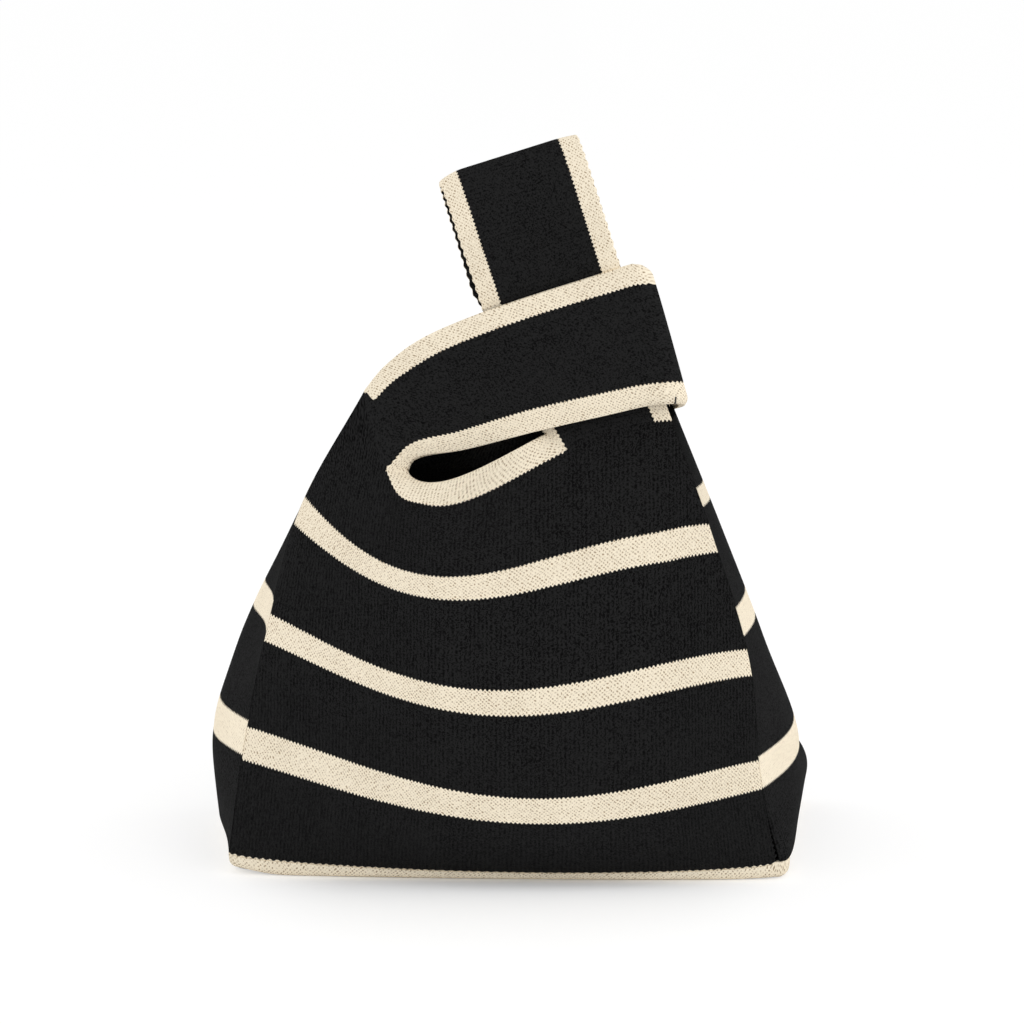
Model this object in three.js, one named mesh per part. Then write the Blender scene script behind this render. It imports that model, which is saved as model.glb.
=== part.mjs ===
// A knitted knot bag: a gusseted tote body with a short handle on its left shoulder and a long
// handle on its right one. The long handle is drawn up through the loop of the short one, which
// closes the mouth, and the free loop above it is the carrying loop.
//
// Millimetres, +Z up, front towards -Y. The origin is on the table, under the middle of the base.
import * as THREE from "three";

// Cloth and thread
const knit = 2.6; // thickness of the double knit
const clearance = 0.3; // between neighbouring pieces
const thread = 1; // diameter of the linking thread in a seam
const slot = thread + 2 * clearance; // room between two panels for the thread
const join = clearance + 0.2; // room where a strap or band carries on from a panel

const width = 242; // of the bag, over its gussets
const depth = 140; // of the bag, over its panels
const drawn = { width: 242, depth: 140 }; // what the places across and outwards are drawn for
const widen = width / drawn.width;
const deepen = depth / drawn.depth;

// The body, as rows of its knit from the hem up. `row` counts millimetres of cloth above the hem.
// A row runs from the left seam to the right one, sags by `sag` and crowns outwards by `crown`;
// `at` is where along the row it does so and `sharp` how suddenly. `fan` gathers it to the left.
// On the right the back seam stands further out than the front one, by `shift`.
const rows = [
  {
    row: 0,
    left: { x: -110, out: 50, z: 8.4 },
    right: { x: 105.2, out: 55, z: 7.5, shift: 17.3 },
    sag: { depth: 0.7, at: 0.75, sharp: 1 },
    crown: { depth: 17.5, at: 0.5, sharp: 0.8 },
    fan: 1,
    belly: { left: 6.5, leftSkew: 0.05, right: 1.6 },
  },
  {
    row: 36,
    left: { x: -104.9, out: 48, z: 54.1 },
    right: { x: 97.6, out: 48, z: 41.1, shift: 18.6 },
    sag: { depth: 15.8, at: 0.523, sharp: 1.19 },
    crown: { depth: 18, at: 0.5, sharp: 0.8 },
    fan: 1,
    belly: { left: 14.4, leftSkew: -0.1, right: 8 },
  },
  {
    row: 80,
    left: { x: -96, out: 38, z: 98.1 },
    right: { x: 93.5, out: 38.3, z: 84, shift: 7 },
    sag: { depth: 19.2, at: 0.435, sharp: 1.45 },
    crown: { depth: 19, at: 0.47, sharp: 0.85 },
    fan: 1.05,
    belly: { left: 6.5, leftSkew: 0.4, right: 2.1 },
  },
  {
    row: 125,
    left: { x: -84.3, out: 6, z: 139.3 },
    right: { x: 79.8, out: 26, z: 129.9, shift: 2.2 },
    sag: { depth: 20.9, at: 0.337, sharp: 1.87 },
    crown: { depth: 27, at: 0.32, sharp: 1.1 },
    fan: 1.3,
    belly: { left: 0, leftSkew: 0, right: 1.3 },
  },
  {
    row: 171,
    left: { x: -58.6, out: knit + 3, z: 186 },
    right: { x: 63.5, out: knit + 2.4, z: 174.4, shift: -0.5 },
    sag: { depth: 39.7, at: 0.224, sharp: 1.48 },
    crown: { depth: 21.5, at: 0.24, sharp: 2.4 },
    fan: 1.88,
    belly: { left: 0, leftSkew: 0, right: 0.6 },
  },
];
const topRow = rows.at(-1).row;
const slump = { left: 3, right: -5 }; // how much lower the back hangs than the front, at the top
const lift = 8; // how much less the mouth sags at the back
const centre = -1.4; // moves the bag sideways, so that the middle of its box is at the origin
const baseRound = 3; // how far the base's flat underside lies inside the hem

// The mouth: its free edge, and where along the top row its band begins and ends
const mouth = {
  left: { x: -41.5, out: 13, z: 156 },
  right: { x: 13.4, out: 6.6, z: 169.3 },
  sag: { depth: 5.85, at: 0.244, sharp: 1.27 },
  rise: { at: 0.35, sharp: 1.8 }, // where it is lifted at the back
  crown: { depth: 15, at: 0.45, sharp: 1 },
  bandFrom: 0.25,
  bandTo: 0.8,
};

// The straps
const band = 7.6; // width of their pale edge bands
const layerGap = 0.4; // between the two layers of the long handle
const knotGap = 1.2; // between the long handle and the short one round it
const neckOut = layerGap / 2 + knit; // outer face of the long handle, from the middle plane
const knotOut = neckOut + knotGap + knit; // outer face of the short handle there
const short = {
  width: 56.3, // where it turns over
  lean: 101.6, // degrees, the way across it there
  flare: 4.6, // how far the lower edge stands off the knot
  lowerEdge: [
    { x: -39.9, z: 159.4 },
    { x: -36.3, z: 161.2 },
    { x: -20, z: 163.3 },
    { x: 11, z: 171.2 },
    { x: 43, z: 178.5 },
    { x: 53, z: 180.6 },
    { x: 58.4, z: 181.2 },
  ],
  upperEdge: [
    { x: -52.2, z: 194.1 },
    { x: -45.9, z: 199.9 },
    { x: -39.5, z: 204.7 },
    { x: -30, z: 209.9 },
    { x: -12.6, z: 217.1 },
    { x: 11, z: 225.3 },
  ],
  drop: { upper: 3.2, lower: 6, middle: 1.6 }, // how much lower its back layer hangs
};
const long = {
  width: 57,
  tilt: 17.5, // degrees, leaning left
  nip: { x: 14.3, z: 230.6 }, // middle of the line that the carrying loop bends on
  neck: 27, // length of the stretch that slides in the short handle
  loop: 51.4, // height of the carrying loop above that line
  loopOut: 9, // half its depth when it hangs open
  loopBelly: 30, // height where it is deepest
};

// Mesh density
const panelColumns = 26;
const panelRows = 15;
const gussetColumns = 8;
const strapSteps = 16;
const bightSteps = 4;

const cornerShare = 0.1; // of a panel's width, over which its wall turns into the corner

const blackKnit = new THREE.MeshStandardMaterial({ color: 0x1f1f1f, roughness: 0.95, metalness: 0 });
const creamKnit = new THREE.MeshStandardMaterial({ color: 0xe2d5bb, roughness: 0.95, metalness: 0 });
const darkThread = new THREE.MeshStandardMaterial({ color: 0x2b2b2b, roughness: 0.85, metalness: 0 });

const front = -1; // the sign of Y on each face of the bag
const back = 1;
const left = -1; // and of X on each side
const right = 1;

const { lerp, smoothstep, degToRad } = THREE.MathUtils;

// A rise and fall of height 1 along a row, highest at `at`
function hump(along, { at, sharp }) {
  const shifted = Math.pow(along, Math.log(0.5) / Math.log(at));
  return Math.pow(Math.max(0, Math.sin(Math.PI * shifted)), sharp);
}

// How much lower a place on the body hangs than the same place on the front
function slumpAt(face, along, height) {
  if (face === front) return 0;
  return lerp(slump.left, slump.right, smoothstep(along, 0.6, 1)) * (height / topRow) ** 2;
}

// A point on one row of cloth, given as {left, right, sag, crown}
function rowPoint(line, along, face) {
  const out = lerp(line.left.out, line.right.out, along) + line.crown.depth * hump(along, line.crown);
  const z = lerp(line.left.z, line.right.z, along) - line.sag.depth * hump(along, line.sag);
  return new THREE.Vector3(widen * lerp(line.left.x, line.right.x, along), deepen * face * out, z);
}

// Every number of a row, in a fixed order, so that rows can be blended smoothly up the body
function numbersOf(line) {
  return Object.values(line).flatMap((value) => (typeof value === "object" ? numbersOf(value) : [value]));
}

function withNumbers(line, numbers) {
  const made = {};
  for (const [key, value] of Object.entries(line)) {
    made[key] = typeof value === "object" ? withNumbers(value, numbers) : numbers.shift();
  }
  return made;
}

const bodyBlend = new THREE.CubicInterpolant(
  rows.map((line) => line.row),
  new Float64Array(rows.flatMap(numbersOf)),
  numbersOf(rows[0]).length,
);

function rowAt(height) {
  return withNumbers(rows[0], [...bodyBlend.evaluate(height)]);
}

// The outer face of the front or back panel: `across` from the left seam to the right, `height` in rows
function panelPoint(face, across, height) {
  const line = rowAt(height);
  const along = Math.pow(across, line.fan);
  const point = rowPoint(line, along, face);
  if (face === front) return point;
  point.x += widen * line.right.shift * along;
  point.z += lift * (height / topRow) ** 2 * hump(along, line.sag) - slumpAt(back, along, height);
  return point;
}

// The outer face of a gusset: `across` from the front seam to the back one
function gussetPoint(side, across, height) {
  const { left: leftSeam, right: rightSeam, belly } = rowAt(height);
  const seam = side === left ? leftSeam : rightSeam;
  const bulge = Math.sin(Math.PI * across);
  const lean = belly.leftSkew * Math.sin(2 * Math.PI * across);
  const x = side === left ? -belly.left * (bulge - lean) : seam.shift * across + belly.right * bulge;
  const z = seam.z - slumpAt(back, side === left ? 0 : 1, height) * across;
  return new THREE.Vector3(widen * (seam.x + x), deepen * lerp(-seam.out, seam.out, across), z);
}

// Outward normal of a surface point(across, height), from two short steps
function normalOf(point, across, height, outwards) {
  const stepAcross = 0.004;
  const stepUp = 0.4;
  const a0 = Math.max(0, across - stepAcross);
  const a1 = Math.min(1, across + stepAcross);
  const h0 = Math.max(0, height - stepUp);
  const h1 = Math.min(topRow, height + stepUp);
  const along = point(a1, height).sub(point(a0, height));
  const up = point(across, h1).sub(point(across, h0));
  return along.cross(up).normalize().multiplyScalar(outwards);
}

const panelNormal = (face, across, height) =>
  normalOf((a, h) => panelPoint(face, a, h), across, height, face === front ? 1 : -1);
const gussetNormal = (side, across, height) =>
  normalOf((a, h) => gussetPoint(side, a, h), across, height, side === right ? 1 : -1);

// Direction whose unit length keeps the same wall on both sides of a corner
function mitre(a, b) {
  return a.clone().add(b).divideScalar(1 + Math.max(a.dot(b), -0.2));
}

function seamMitre(face, side, height) {
  const panel = panelNormal(face, side === left ? 0 : 1, height);
  return mitre(panel, gussetNormal(side, face === front ? 0 : 1, height));
}

const levelled = (direction) => new THREE.Vector3(direction.x, direction.y, 0);

// A closed solid between an outer and an inner face, each a function of (u, v) from 0 to 1
function clothSolid(outer, inner, columns, steps) {
  const points = [];
  const index = [];
  for (const skin of [outer, inner]) {
    for (let j = 0; j <= steps; j++) {
      for (let i = 0; i <= columns; i++) points.push(skin(i / columns, j / steps));
    }
  }
  const size = (columns + 1) * (steps + 1);
  const at = (i, j) => j * (columns + 1) + i;
  const quad = (a, b, c, d) => index.push(a, b, c, a, c, d);
  for (let j = 0; j < steps; j++) {
    for (let i = 0; i < columns; i++) {
      const [a, b, c, d] = [at(i, j), at(i + 1, j), at(i + 1, j + 1), at(i, j + 1)];
      quad(a, b, c, d);
      quad(size + d, size + c, size + b, size + a);
    }
  }
  const rim = [];
  for (let i = 0; i < columns; i++) rim.push(at(i, 0));
  for (let j = 0; j < steps; j++) rim.push(at(columns, j));
  for (let i = columns; i > 0; i--) rim.push(at(i, steps));
  for (let j = steps; j > 0; j--) rim.push(at(0, j));
  rim.forEach((a, k) => {
    const b = rim[(k + 1) % rim.length];
    quad(b, a, size + a, size + b);
  });
  return facingOut(points, index);
}

// Builds the geometry, turned round if its faces point inwards
function facingOut(points, index) {
  let volume = 0;
  for (let k = 0; k < index.length; k += 3) {
    const [a, b, c] = [points[index[k]], points[index[k + 1]], points[index[k + 2]]];
    volume += a.dot(b.clone().cross(c));
  }
  if (volume < 0) index.reverse();
  return new THREE.BufferGeometry().setFromPoints(points).setIndex(index);
}

function piece(name, geometry, material) {
  const mesh = new THREE.Mesh(geometry, material);
  mesh.name = name;
  return mesh;
}

// Moves an edge point in along the cloth by `distance`
function drawnIn(edge, next, distance) {
  return edge.clone().addScaledVector(next.clone().sub(edge).normalize(), distance);
}

// An edge of a surface point(across, height), moved in square to its seam to leave room for the thread
function besideSeam(point, across, inside, height, distance) {
  const edge = point(across, height);
  const seam = point(across, Math.min(topRow, height + 1)).sub(point(across, Math.max(0, height - 1)));
  const step = point(inside, height).sub(edge);
  step.addScaledVector(seam, -step.dot(seam) / seam.lengthSq());
  return edge.addScaledVector(step.normalize(), distance);
}

const bag = new THREE.Group();

// The two striped panels and the two gussets

function panelEdge(face, across, height) {
  const room = (slot / 2) * seamMitre(face, across === 0 ? left : right, height).length();
  return besideSeam((a, h) => panelPoint(face, a, h), across, 0.02 + 0.96 * across, height, room);
}

function gussetEdge(side, across, height) {
  const room = (slot / 2) * seamMitre(across === 0 ? front : back, side, height).length();
  return besideSeam((a, h) => gussetPoint(side, a, h), across, 0.02 + 0.96 * across, height, room);
}

// The way through a panel's cloth, which turns to the mitre beside a corner
function panelWall(face, across, height) {
  const wall = panelNormal(face, across, height);
  wall.lerp(seamMitre(face, left, height), smoothstep(cornerShare - across, 0, cornerShare));
  return wall.lerp(seamMitre(face, right, height), smoothstep(cornerShare - 1 + across, 0, cornerShare));
}

function panel(name, face) {
  const nudge = 0.02;
  const skin = (u, v) => {
    const height = v * topRow;
    return u === 0 || u === 1 ? panelEdge(face, u, height) : panelPoint(face, u, height);
  };
  const outer = (u, v) => (v === 1 ? drawnIn(skin(u, 1), skin(u, 1 - nudge), join / 2) : skin(u, v));
  const inner = (u, v) => {
    const height = v * topRow;
    const wall = panelWall(face, u, height);
    return outer(u, v).addScaledVector(v === 0 ? levelled(wall) : wall, -knit);
  };
  return piece(name, clothSolid(outer, inner, panelColumns, panelRows), blackKnit);
}

function gusset(name, side) {
  const nudge = 0.02;
  const skin = (u, v) => {
    const height = v * topRow;
    return u === 0 || u === 1 ? gussetEdge(side, u, height) : gussetPoint(side, lerp(0.1, 0.9, u), height);
  };
  const outer = (u, v) => (v === 1 ? drawnIn(skin(u, 1), skin(u, 1 - nudge), join / 2) : skin(u, v));
  const inner = (u, v) => {
    const height = v * topRow;
    let wall = gussetNormal(side, u, height);
    if (u === 0) wall = seamMitre(front, side, height);
    if (u === 1) wall = seamMitre(back, side, height);
    if (v === 0) wall = levelled(wall);
    return outer(u, v).addScaledVector(wall, -knit);
  };
  return piece(name, clothSolid(outer, inner, gussetColumns, panelRows), blackKnit);
}

bag.add(panel("front_panel", front), panel("back_panel", back));
bag.add(gusset("left_gusset", left), gusset("right_gusset", right));

// The pale base: a shallow tray whose rim shows as the lowest stripe

function hemLoop() {
  const loop = [];
  const corner = (point, normal) => loop.push({ point, normal: levelled(normal).normalize() });
  const wide = panelColumns;
  const deep = gussetColumns;
  for (let i = 1; i < wide; i++) corner(panelPoint(front, i / wide, 0), panelNormal(front, i / wide, 0));
  corner(panelPoint(front, 1, 0), seamMitre(front, right, 0));
  for (let i = 1; i < deep; i++) corner(gussetPoint(right, i / deep, 0), gussetNormal(right, i / deep, 0));
  corner(panelPoint(back, 1, 0), seamMitre(back, right, 0));
  for (let i = wide - 1; i > 0; i--) corner(panelPoint(back, i / wide, 0), panelNormal(back, i / wide, 0));
  corner(panelPoint(back, 0, 0), seamMitre(back, left, 0));
  for (let i = deep - 1; i > 0; i--) corner(gussetPoint(left, i / deep, 0), gussetNormal(left, i / deep, 0));
  corner(panelPoint(front, 0, 0), seamMitre(front, left, 0));
  return loop;
}

function basePanel() {
  const loop = hemLoop();
  const ring = (inset, height) =>
    loop.map(({ point, normal }) => {
      const placed = point.clone().addScaledVector(normal, -inset);
      return placed.setZ(height(point.z - slot));
    });
  const rings = [
    ring(0, (rim) => rim),
    ring(0.06 * baseRound, (rim) => 0.55 * rim),
    ring(0.35 * baseRound, (rim) => 0.2 * rim),
    ring(baseRound, () => 0),
    ring(baseRound + knit, () => knit),
    ring(knit + 0.25 * baseRound, (rim) => lerp(knit, rim, 0.35)),
    ring(knit, (rim) => rim),
  ];
  const count = loop.length;
  const points = rings.flat();
  const underside = points.push(new THREE.Vector3(0, 0, 0)) - 1;
  const floor = points.push(new THREE.Vector3(0, 0, knit)) - 1;
  const index = [];
  const bottomRing = 3;
  for (let i = 0; i < count; i++) {
    const next = (i + 1) % count;
    rings.forEach((_, k) => {
      const other = (k + 1) % rings.length;
      const [a, b] = [k * count + i, k * count + next];
      const [c, d] = [other * count + next, other * count + i];
      if (k !== bottomRing) index.push(a, d, c, a, c, b);
    });
    index.push(bottomRing * count + i, underside, bottomRing * count + next);
    index.push((bottomRing + 1) * count + next, floor, (bottomRing + 1) * count + i);
  }
  return piece("base_panel", facingOut(points, index), creamKnit);
}

bag.add(basePanel());

// Linking thread, drawn through the slot between two pieces of cloth

function threadAlong(name, points, steps) {
  const section = new THREE.Shape().absarc(0, 0, thread / 2, 0, 2 * Math.PI);
  const path = new THREE.CatmullRomCurve3(points);
  const geometry = new THREE.ExtrudeGeometry(section, { steps, curveSegments: 3, extrudePath: path });
  return piece(name, geometry, darkThread);
}

function cornerSeam(name, face, side) {
  const points = [];
  const first = slot / 2 + thread; // clear of the seam round the base
  for (let j = 0; j <= panelRows; j++) {
    const height = lerp(first, topRow - thread, j / panelRows);
    const edge = panelPoint(face, side === left ? 0 : 1, height);
    points.push(edge.addScaledVector(seamMitre(face, side, height), -knit / 2));
  }
  return threadAlong(name, points, panelRows);
}

bag.add(cornerSeam("front_left_seam", front, left), cornerSeam("front_right_seam", front, right));
bag.add(cornerSeam("back_left_seam", back, left), cornerSeam("back_right_seam", back, right));

function baseSeam() {
  const points = hemLoop().map(({ point, normal }) => {
    const inside = point.clone().addScaledVector(normal, -knit / 2);
    return inside.setZ(point.z - slot / 2);
  });
  return threadAlong("base_seam", points, points.length);
}

bag.add(baseSeam());

// The mouth band, from the short handle's shoulder to the long handle's

function mouthEdge(face, along) {
  const point = rowPoint(mouth, along, face);
  if (face === back) point.z += lift * hump(along, mouth.rise) - slump.left * (1 - along);
  return point;
}

const topEdge = (face, across) => panelPoint(face, across, topRow);

function mouthBand(name, face) {
  const trim = 0.009; // of the band's length, where it meets the bands of the handles
  const acrossAt = (u) => lerp(mouth.bandFrom, mouth.bandTo, u);
  const outer = (u, v) => {
    const along = lerp(trim, 1 - trim, u);
    const outside = topEdge(face, acrossAt(along));
    const inside = mouthEdge(face, along);
    return outside.lerp(inside, lerp(join / 2 / band, 1, v));
  };
  const inner = (u, v) => outer(u, v).addScaledVector(panelWall(face, acrossAt(u), topRow), -knit);
  return piece(name, clothSolid(outer, inner, strapSteps, 1), creamKnit);
}

bag.add(mouthBand("front_mouth_band", front), mouthBand("back_mouth_band", back));

// Where a strap leaves the body: its inner edge at the mouth, its outer one at the armpit.
// `cornerAt` is the share of the strap's width that its inner band takes there.
function rootPoint(face, across, cornerAt, mouthEnd, bandEnd, armpit) {
  const corner = topEdge(face, bandEnd);
  if (across <= cornerAt) return mouthEdge(face, mouthEnd).lerp(corner, across / cornerAt);
  if (across === 1) return panelEdge(face, armpit, topRow);
  return topEdge(face, lerp(bandEnd, armpit, (across - cornerAt) / (1 - cornerAt)));
}

function rootNormal(face, across, cornerAt, bandEnd, armpit) {
  const share = Math.max(0, (across - cornerAt) / (1 - cornerAt));
  return panelWall(face, lerp(bandEnd, armpit, share), topRow);
}

// The short handle: two layers that lean right across the mouth and meet in a bight

const edgePoint = ({ x, z }) => new THREE.Vector3(widen * x, 0, z);
const shortLower = new THREE.CatmullRomCurve3([mouthEdge(front, 0).setY(0), ...short.lowerEdge.map(edgePoint)]);
const shortEnd = shortLower.points.at(-1);
const shortTop = new THREE.Vector3(Math.cos(degToRad(short.lean)), 0, Math.sin(degToRad(short.lean)))
  .multiplyScalar(short.width)
  .add(shortEnd);
const shortUpper = new THREE.CatmullRomCurve3([
  topEdge(front, 0).setY(0),
  ...short.upperEdge.map(edgePoint),
  shortTop,
]);
const shortWidth = (along) => shortLower.getPointAt(along).distanceTo(shortUpper.getPointAt(along));
const shortCorner = band / shortWidth(0);
const blendShare = 0.35; // of the strap's length, over which it leaves the body's shape
const dropShare = 0.18; // of its length, over which its back layer drops

function shortFlat(along, across) {
  const point = shortLower.getPointAt(along).lerp(shortUpper.getPointAt(along), across);
  return point.setY(knotOut + short.flare * (1 - across) ** 0.8);
}

function shortOuter(face, along, across) {
  const flat = shortFlat(along, across);
  flat.y *= face;
  const root = rootPoint(face, across, shortCorner, 0, mouth.bandFrom, 0);
  const start = shortFlat(0, across);
  start.y *= face;
  const fade = Math.max(0, 1 - along / blendShare) ** 2;
  return flat.addScaledVector(root.sub(start), fade);
}

function shortWall(face, along, across) {
  const root = rootNormal(face, across, shortCorner, mouth.bandFrom, 0);
  return root.lerp(new THREE.Vector3(0, face, 0), smoothstep(along, 0, blendShare));
}

// How far a place on the strap hangs below the front layer, `angle` being the turn of the bight
function shortDrop(face, along, across, angle) {
  const turned = (1 - Math.cos(face === front ? angle : Math.PI - angle)) / 2;
  const low = lerp(short.drop.lower, short.drop.middle, hump(along, { at: 0.5, sharp: 2 }));
  const fade = smoothstep(along, 0, dropShare);
  return lerp(low, short.drop.upper, across) * turned * fade;
}

// One skin of a half strap: along the flat, then a quarter turn of the bight
function shortSkin(face, depth, along, across) {
  const flatShare = strapSteps / (strapSteps + bightSteps);
  const start = (join / 2) * (1 + 2.4 * across) / shortLower.getLength(); // the edge is steep at the armpit
  if (along <= flatShare) {
    const place = lerp(start, 1, along / flatShare);
    const point = shortOuter(face, place, across).addScaledVector(shortWall(face, place, across), -depth);
    return point.setZ(point.z - shortDrop(face, place, across, 0));
  }
  const end = shortOuter(face, 1, across);
  const heading = shortLower.getTangentAt(1);
  const radius = Math.abs(end.y) - depth;
  const last = Math.PI / 2 - slot / 2 / (Math.abs(end.y) - knit / 2);
  const angle = (last * (along - flatShare)) / (1 - flatShare);
  end.y = face * radius * Math.cos(angle);
  end.z -= shortDrop(face, 1, across, angle);
  return end.addScaledVector(heading, radius * Math.sin(angle));
}

function shortStrip(name, face, from, to, columns, material) {
  const across = (v, along) => lerp(from(shortWidth(along)), to(shortWidth(along)), v);
  const skin = (depth) => (u, v) => shortSkin(face, depth, u, across(v, Math.min(1, u)));
  return piece(name, clothSolid(skin(0), skin(knit), strapSteps + bightSteps, columns), material);
}

const lowerSide = (width) => (band + join / 2) / width;
const upperSide = (width) => (width - band - join / 2) / width;

for (const [face, label] of [
  [front, "front"],
  [back, "back"],
]) {
  bag.add(shortStrip(`short_handle_${label}`, face, lowerSide, upperSide, 4, blackKnit));
  bag.add(
    shortStrip(`short_handle_${label}_inner_band`, face, () => 0, (w) => (band - join / 2) / w, 1, creamKnit),
  );
  bag.add(
    shortStrip(`short_handle_${label}_outer_band`, face, (w) => (w - band + join / 2) / w, () => 1, 2, creamKnit),
  );
}

function endSeam() {
  const heading = shortLower.getTangentAt(1);
  const points = [0.02, 0.35, 0.65, 0.98].map((across) => {
    const end = shortOuter(front, 1, across);
    const reach = Math.abs(end.y) - knit / 2;
    end.set(end.x, 0, end.z - shortDrop(front, 1, across, Math.PI / 2));
    return end.addScaledVector(heading, reach);
  });
  return threadAlong("short_handle_end_seam", points, 6);
}

bag.add(endSeam());

// The long handle's two roots, from the right shoulder up into the short handle

const longTurn = -degToRad(long.tilt);
const longUp = new THREE.Vector3(Math.sin(longTurn), 0, Math.cos(longTurn));
const longAcross = new THREE.Vector3(Math.cos(longTurn), 0, -Math.sin(longTurn));
const nip = edgePoint(long.nip);
const neckTop = -(neckOut + clearance); // of the fixed side, below the line of the nip
const neckBottom = neckTop - long.neck;
const rootTop = neckBottom - clearance;
const longCorner = band / long.width;

function longEdge(side, face) {
  const start = side === left ? mouthEdge(face, 1) : topEdge(face, 1);
  const end = nip.clone().addScaledVector(longAcross, (side * long.width) / 2).addScaledVector(longUp, rootTop);
  const easing = 0.4 * start.distanceTo(end);
  const control = end.clone().addScaledVector(longUp, -easing);
  return new THREE.QuadraticBezierCurve3(start.setY(0), control, end);
}

const longEdges = { [left]: longEdge(left, front), [right]: longEdge(right, front) };

function longOuter(face, along, across) {
  const straight = (t) => longEdges[left].getPoint(t).lerp(longEdges[right].getPoint(t), across);
  const root = rootPoint(face, across, longCorner, 1, mouth.bandTo, 1);
  const shift = root.clone().sub(straight(0));
  const point = straight(along).addScaledVector(shift, (1 - along) ** 2);
  const sink = (1 - along) ** 4;
  return point.setY(face * lerp(neckOut, Math.abs(root.y), sink));
}

function longWall(face, along, across) {
  const root = rootNormal(face, across, longCorner, mouth.bandTo, 1);
  return root.lerp(new THREE.Vector3(0, face, 0), smoothstep(along, 0, 0.6));
}

function longRoot(name, face, from, to, columns, material) {
  const steps = 8;
  const start = join / 2 / longEdges[left].getLength();
  const skin = (depth) => (u, v) => {
    const along = lerp(start, 1, u);
    const across = lerp(from, to, v);
    return longOuter(face, along, across).addScaledVector(longWall(face, along, across), -depth);
  };
  return piece(name, clothSolid(skin(0), skin(knit), steps, columns), material);
}

const bandShare = (band - join / 2) / long.width;
const bodyShare = (band + join / 2) / long.width;

for (const [face, label] of [
  [front, "front"],
  [back, "back"],
]) {
  bag.add(longRoot(`long_handle_${label}`, face, bodyShare, 1 - bodyShare, 4, blackKnit));
  bag.add(longRoot(`long_handle_${label}_inner_band`, face, 0, bandShare, 1, creamKnit));
  bag.add(longRoot(`long_handle_${label}_outer_band`, face, 1 - bandShare, 1, 1, creamKnit));
}

// The neck slides in the short handle, and the carrying loop bends on the nip above it

const neck = new THREE.Group();
neck.position.copy(nip);
neck.rotation.y = longTurn;
bag.add(neck);

const bodyWidth = long.width - 2 * band - clearance;
const bandPlace = (long.width - band) / 2 + clearance / 4;
const strips = [
  { suffix: "", width: bodyWidth, x: 0, material: blackKnit },
  { suffix: "_inner_band", width: band - clearance / 2, x: -bandPlace, material: creamKnit },
  { suffix: "_outer_band", width: band - clearance / 2, x: bandPlace, material: creamKnit },
];

for (const [face, label] of [
  [front, "front"],
  [back, "back"],
]) {
  for (const { suffix, width, x, material } of strips) {
    const layer = piece(`neck_${label}${suffix}`, new THREE.BoxGeometry(width, knit, long.neck), material);
    layer.position.set(x, (face * (neckOut + layerGap / 2)) / 2, (neckTop + neckBottom) / 2);
    neck.add(layer);
  }
}

// Half the depth of the carrying loop's outer face at a height above the nip
function loopHalf(height) {
  return lerp(neckOut, long.loopOut, smoothstep(height, 0, long.loopBelly));
}

function loopProfile() {
  const sides = 7;
  const crown = long.loop - long.loopBelly;
  const heights = (from) => Array.from({ length: sides }, (_, i) => lerp(from, long.loopBelly, i / sides));
  const outline = new THREE.Shape();
  outline.absarc(0, 0, neckOut, Math.PI, 2 * Math.PI);
  for (const h of heights(0).slice(1)) outline.lineTo(loopHalf(h), h);
  outline.absellipse(0, long.loopBelly, long.loopOut, crown, 0, Math.PI);
  for (const h of heights(0).slice(1).reverse()) outline.lineTo(-loopHalf(h), h);
  const parting = long.loopBelly / 4; // where the two layers leave each other
  const hole = new THREE.Path().moveTo(0, parting);
  for (const h of heights(parting).slice(1)) hole.lineTo(loopHalf(h) - knit, h);
  hole.absellipse(0, long.loopBelly, long.loopOut - knit, crown - knit, 0, Math.PI);
  for (const h of heights(parting).slice(1).reverse()) hole.lineTo(knit - loopHalf(h), h);
  outline.holes.push(hole);
  return outline;
}

const carryLoop = new THREE.Group();
neck.add(carryLoop);
for (const { suffix, width, x, material } of strips) {
  const geometry = new THREE.ExtrudeGeometry(loopProfile(), { depth: width, bevelEnabled: false, curveSegments: 8 });
  // The profile's plane is turned from XY to YZ, so that it is extruded across the strap.
  geometry.translate(0, 0, -width / 2).rotateX(Math.PI / 2).rotateZ(Math.PI / 2);
  const loop = piece(`carry_loop${suffix}`, geometry, material);
  loop.position.x = x;
  carryLoop.add(loop);
}

bag.position.x = widen * centre;
export default bag;
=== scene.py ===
import math
from functools import lru_cache

import bmesh
import bpy
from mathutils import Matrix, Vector, noise


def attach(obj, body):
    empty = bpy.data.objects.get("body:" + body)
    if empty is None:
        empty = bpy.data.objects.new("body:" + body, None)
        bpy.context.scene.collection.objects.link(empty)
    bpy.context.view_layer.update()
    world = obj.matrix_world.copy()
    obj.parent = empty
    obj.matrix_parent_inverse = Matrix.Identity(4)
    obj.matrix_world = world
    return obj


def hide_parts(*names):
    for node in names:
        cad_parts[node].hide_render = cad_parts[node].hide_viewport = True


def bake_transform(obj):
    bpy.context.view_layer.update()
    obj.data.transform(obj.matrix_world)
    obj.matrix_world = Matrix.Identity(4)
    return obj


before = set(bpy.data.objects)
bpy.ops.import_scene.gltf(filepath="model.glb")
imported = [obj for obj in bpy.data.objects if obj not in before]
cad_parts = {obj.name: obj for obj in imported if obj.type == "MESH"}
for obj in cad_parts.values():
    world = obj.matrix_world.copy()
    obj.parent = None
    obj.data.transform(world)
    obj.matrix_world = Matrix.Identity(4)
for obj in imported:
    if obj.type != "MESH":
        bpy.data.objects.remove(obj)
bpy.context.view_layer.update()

mm = 0.001  # the shapes are worked out in millimetres
front, back, left, right = -1, 1, -1, 1

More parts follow.
